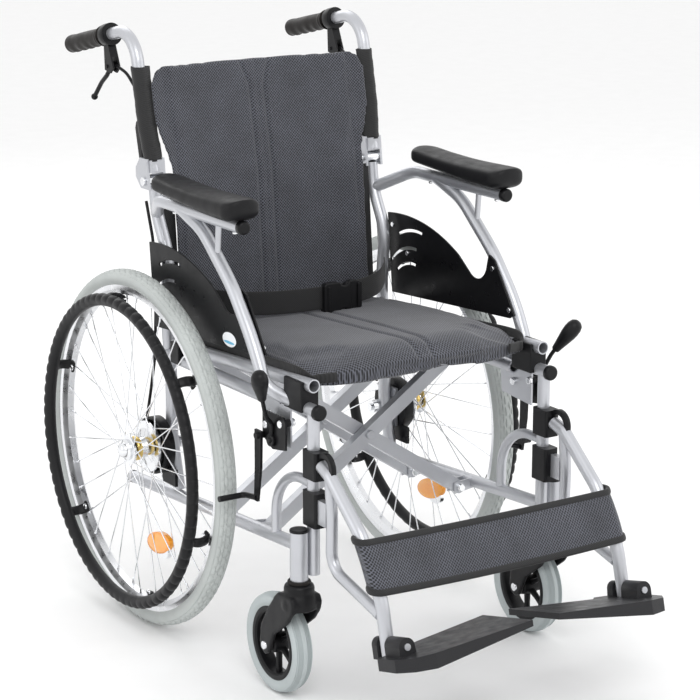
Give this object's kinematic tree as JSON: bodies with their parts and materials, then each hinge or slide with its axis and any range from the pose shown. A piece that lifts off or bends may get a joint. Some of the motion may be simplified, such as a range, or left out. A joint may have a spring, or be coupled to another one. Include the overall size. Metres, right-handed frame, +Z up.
{
  "type": "manual wheelchair",
  "caption": "Folding manual wheelchair with handrims, spoked rear wheels, swivel casters, swing-away legrests, padded mesh seat and back, lap belt and drum and parking brakes.",
  "frame": {"origin": "on the floor under the middle of the chair's box", "axes": "+Z up, -Y the way the occupant faces, +X the occupant's left"},
  "size_m": [0.615, 1.0332, 0.9373],
  "materials": {
    "tube_silver": "satin powder coat",
    "black_plastic": "moulded",
    "black_steel": "black coat",
    "chrome": "bright",
    "alloy": "polished",
    "grey_tyre": "solid grey rubber",
    "black_rubber": "soft grip",
    "pad_foam": "skinned foam",
    "mesh_fabric": "air mesh",
    "webbing": "woven nylon",
    "guard_plastic": "satin sheet"
  },
  "bodies": {
    "right_frame": {"front_frame_right": "tube_silver", "rear_frame_right": "tube_silver", "frame_fittings_right": "black_plastic", "side_guard_right": "guard_plastic", "arm_pad_right": "pad_foam", "frame_bolts_right": "chrome", "drum_cover_right": "black_steel", "back_lower": "mesh_fabric"},
    "left_frame": {"front_frame_left": "tube_silver", "rear_frame_left": "tube_silver", "frame_fittings_left": "black_plastic", "side_guard_left": "guard_plastic", "arm_pad_left": "pad_foam", "frame_bolts_left": "chrome", "drum_cover_left": "black_steel"},
    "cross_left": {"cross_frame_left": "tube_silver"},
    "cross_right": {"cross_frame_right": "tube_silver"},
    "seat_carrier": {"seat": "mesh_fabric", "lap_belt": "webbing"},
    "buckle": {"belt_buckle": "black_plastic"},
    "rear_wheel_right": {"rear_tyre_right": "grey_tyre", "rear_rim_right": "alloy", "hub_right": "chrome", "spokes_right": "chrome", "handrim_right": "black_rubber"},
    "caster_right": {"caster_fork_right": "black_plastic"},
    "caster_roller_right": {"caster_wheel_right": "grey_tyre"},
    "back_right": {"back_cane_right": "tube_silver", "hand_grip_right": "black_rubber", "brake_perch_right": "black_plastic", "back_upper": "mesh_fabric"},
    "back_release_right": {"back_latch_right": "black_plastic"},
    "hand_brake_right": {"brake_lever_right": "black_plastic"},
    "drum_lever_right": {"drum_arm_right": "chrome"},
    "park_lever_right": {"parking_brake_lever_right": "black_steel"},
    "park_shoe_right": {"parking_brake_shoe_right": "black_steel"},
    "hanger_body_right": {"hanger_right": "tube_silver", "hanger_saddles_right": "black_plastic", "calf_strap": "mesh_fabric"},
    "hanger_release_right": {"hanger_latch_right": "black_plastic"},
    "foot_right": {"footplate_right": "black_plastic"},
    "rear_wheel_left": {"rear_tyre_left": "grey_tyre", "rear_rim_left": "alloy", "hub_left": "chrome", "spokes_left": "chrome", "handrim_left": "black_rubber"},
    "caster_left": {"caster_fork_left": "black_plastic"},
    "caster_roller_left": {"caster_wheel_left": "grey_tyre"},
    "back_left": {"back_cane_left": "tube_silver", "hand_grip_left": "black_rubber", "brake_perch_left": "black_plastic"},
    "back_release_left": {"back_latch_left": "black_plastic"},
    "hand_brake_left": {"brake_lever_left": "black_plastic"},
    "drum_lever_left": {"drum_arm_left": "chrome"},
    "park_lever_left": {"parking_brake_lever_left": "black_steel"},
    "park_shoe_left": {"parking_brake_shoe_left": "black_steel"},
    "hanger_body_left": {"hanger_left": "tube_silver", "hanger_saddles_left": "black_plastic"},
    "hanger_release_left": {"hanger_latch_left": "black_plastic"},
    "foot_left": {"footplate_left": "black_plastic"}
  },
  "joints": [
    {"name": "frame_fold", "type": "hinge", "parent": "right_frame", "child": "cross_left", "pos_m": [-0.178, -0.0637, 0.21552], "axis": [0, -0.9982, 0.0599], "range_deg": [0, 48], "deforming": ["seat", "lap_belt", "back_lower", "back_upper", "calf_strap"]},
    {"name": "cross_centre_fold", "type": "hinge", "parent": "cross_left", "child": "cross_right", "pos_m": [0, -0.0637, 0.333], "axis": [0, -0.9982, 0.0599], "range_deg": [-96, 0]},
    {"name": "left_frame_fold", "type": "hinge", "parent": "cross_right", "child": "left_frame", "pos_m": [0.178, -0.0637, 0.21552], "axis": [0, -0.9982, 0.0599], "range_deg": [0, 48]},
    {"name": "seat_level", "type": "hinge", "parent": "cross_left", "child": "seat_carrier", "pos_m": [0.205, -0.0637, 0.4683], "axis": [0, -0.9982, 0.0599], "range_deg": [-48, 0]},
    {"name": "buckle_slide", "type": "slide", "parent": "seat_carrier", "child": "buckle", "axis": [1, 0, 0], "range_m": [0, 0.138]},
    {"name": "rear_wheel_spin_right", "type": "hinge", "parent": "right_frame", "child": "rear_wheel_right", "pos_m": [-0.257, 0.2133, 0.285], "axis": [1, 0, 0], "continuous": true},
    {"name": "caster_swivel_right", "type": "hinge", "parent": "right_frame", "child": "caster_right", "pos_m": [-0.23, -0.2207, 0.2], "axis": [0, 0, 1], "continuous": true},
    {"name": "caster_spin_right", "type": "hinge", "parent": "caster_right", "child": "caster_roller_right", "pos_m": [-0.23, -0.1637, 0.076], "axis": [1, 0, 0], "continuous": true},
    {"name": "back_fold_right", "type": "hinge", "parent": "right_frame", "child": "back_right", "pos_m": [-0.203, 0.2533, 0.702], "axis": [-1, 0, 0], "range_deg": [0, 92]},
    {"name": "back_latch_right", "type": "hinge", "parent": "back_right", "child": "back_release_right", "pos_m": [-0.203, 0.2743, 0.714], "axis": [-1, 0, 0], "range_deg": [0, 16], "stiffness_Nm_per_rad": 0.3},
    {"name": "brake_lever_right", "type": "hinge", "parent": "back_right", "child": "hand_brake_right", "pos_m": [-0.21, 0.3753, 0.868], "axis": [1, 0, 0], "range_deg": [0, 25], "stiffness_Nm_per_rad": 0.3},
    {"name": "drum_arm_right", "type": "hinge", "parent": "right_frame", "child": "drum_lever_right", "pos_m": [-0.216, 0.2473, 0.3075], "axis": [1, 0, 0], "range_deg": [0, 12.5]},
    {"name": "parking_brake_right", "type": "hinge", "parent": "right_frame", "child": "park_lever_right", "pos_m": [-0.235, -0.1547, 0.386], "axis": [1, 0, 0], "range_deg": [0, 50]},
    {"name": "parking_shoe_right", "type": "hinge", "parent": "right_frame", "child": "park_shoe_right", "pos_m": [-0.242, -0.1297, 0.388], "axis": [1, 0, 0], "range_deg": [0, 6]},
    {"name": "hanger_swing_right", "type": "hinge", "parent": "right_frame", "child": "hanger_body_right", "pos_m": [-0.207, -0.2237, 0.33], "axis": [0, 0, -1], "range_deg": [0, 90]},
    {"name": "hanger_latch_right", "type": "hinge", "parent": "hanger_body_right", "child": "hanger_release_right", "pos_m": [-0.21, -0.2491, 0.384], "axis": [-1, 0, 0], "range_deg": [0, 20], "stiffness_Nm_per_rad": 0.2},
    {"name": "footplate_flip_right", "type": "hinge", "parent": "hanger_body_right", "child": "foot_right", "pos_m": [-0.21, -0.4217, 0.152], "axis": [0, -0.9681, 0.2504], "range_deg": [0, 84]},
    {"name": "rear_wheel_spin_left", "type": "hinge", "parent": "left_frame", "child": "rear_wheel_left", "pos_m": [0.257, 0.2133, 0.285], "axis": [1, 0, 0], "continuous": true},
    {"name": "caster_swivel_left", "type": "hinge", "parent": "left_frame", "child": "caster_left", "pos_m": [0.23, -0.2207, 0.2], "axis": [0, 0, 1], "continuous": true},
    {"name": "caster_spin_left", "type": "hinge", "parent": "caster_left", "child": "caster_roller_left", "pos_m": [0.23, -0.1637, 0.076], "axis": [1, 0, 0], "continuous": true},
    {"name": "back_fold_left", "type": "hinge", "parent": "left_frame", "child": "back_left", "pos_m": [0.203, 0.2533, 0.702], "axis": [-1, 0, 0], "range_deg": [0, 92]},
    {"name": "back_latch_left", "type": "hinge", "parent": "back_left", "child": "back_release_left", "pos_m": [0.203, 0.2743, 0.714], "axis": [-1, 0, 0], "range_deg": [0, 16], "stiffness_Nm_per_rad": 0.3},
    {"name": "brake_lever_left", "type": "hinge", "parent": "back_left", "child": "hand_brake_left", "pos_m": [0.21, 0.3753, 0.868], "axis": [1, 0, 0], "range_deg": [0, 25], "stiffness_Nm_per_rad": 0.3},
    {"name": "drum_arm_left", "type": "hinge", "parent": "left_frame", "child": "drum_lever_left", "pos_m": [0.216, 0.2473, 0.3075], "axis": [1, 0, 0], "range_deg": [0, 12.5]},
    {"name": "parking_brake_left", "type": "hinge", "parent": "left_frame", "child": "park_lever_left", "pos_m": [0.235, -0.1547, 0.386], "axis": [1, 0, 0], "range_deg": [0, 50]},
    {"name": "parking_shoe_left", "type": "hinge", "parent": "left_frame", "child": "park_shoe_left", "pos_m": [0.242, -0.1297, 0.388], "axis": [1, 0, 0], "range_deg": [0, 6]},
    {"name": "hanger_swing_left", "type": "hinge", "parent": "left_frame", "child": "hanger_body_left", "pos_m": [0.207, -0.2237, 0.33], "axis": [0, 0, 1], "range_deg": [0, 90]},
    {"name": "hanger_latch_left", "type": "hinge", "parent": "hanger_body_left", "child": "hanger_release_left", "pos_m": [0.21, -0.2491, 0.384], "axis": [-1, 0, 0], "range_deg": [0, 20], "stiffness_Nm_per_rad": 0.2},
    {"name": "footplate_flip_left", "type": "hinge", "parent": "hanger_body_left", "child": "foot_left", "pos_m": [0.21, -0.4217, 0.152], "axis": [0, 0.9681, -0.2504], "range_deg": [0, 84]}
  ],
  "couplings": [
    {"joint": "cross_centre_fold", "follows": "frame_fold", "ratio": -2},
    {"joint": "left_frame_fold", "follows": "frame_fold", "ratio": 1},
    {"joint": "seat_level", "follows": "frame_fold", "ratio": -1},
    {"joint": "buckle_slide", "follows": "frame_fold", "m_per_rad": 0.16},
    {"joint": "drum_arm_right", "follows": "brake_lever_right", "ratio": 0.5},
    {"joint": "parking_shoe_right", "follows": "parking_brake_right", "ratio": 0.12},
    {"joint": "footplate_flip_right", "follows": "frame_fold", "ratio": 1.75},
    {"joint": "drum_arm_left", "follows": "brake_lever_left", "ratio": 0.5},
    {"joint": "parking_shoe_left", "follows": "parking_brake_left", "ratio": 0.12},
    {"joint": "footplate_flip_left", "follows": "frame_fold", "ratio": 1.75},
    {"joint": "back_fold_left", "follows": "back_fold_right", "ratio": 1}
  ]
}
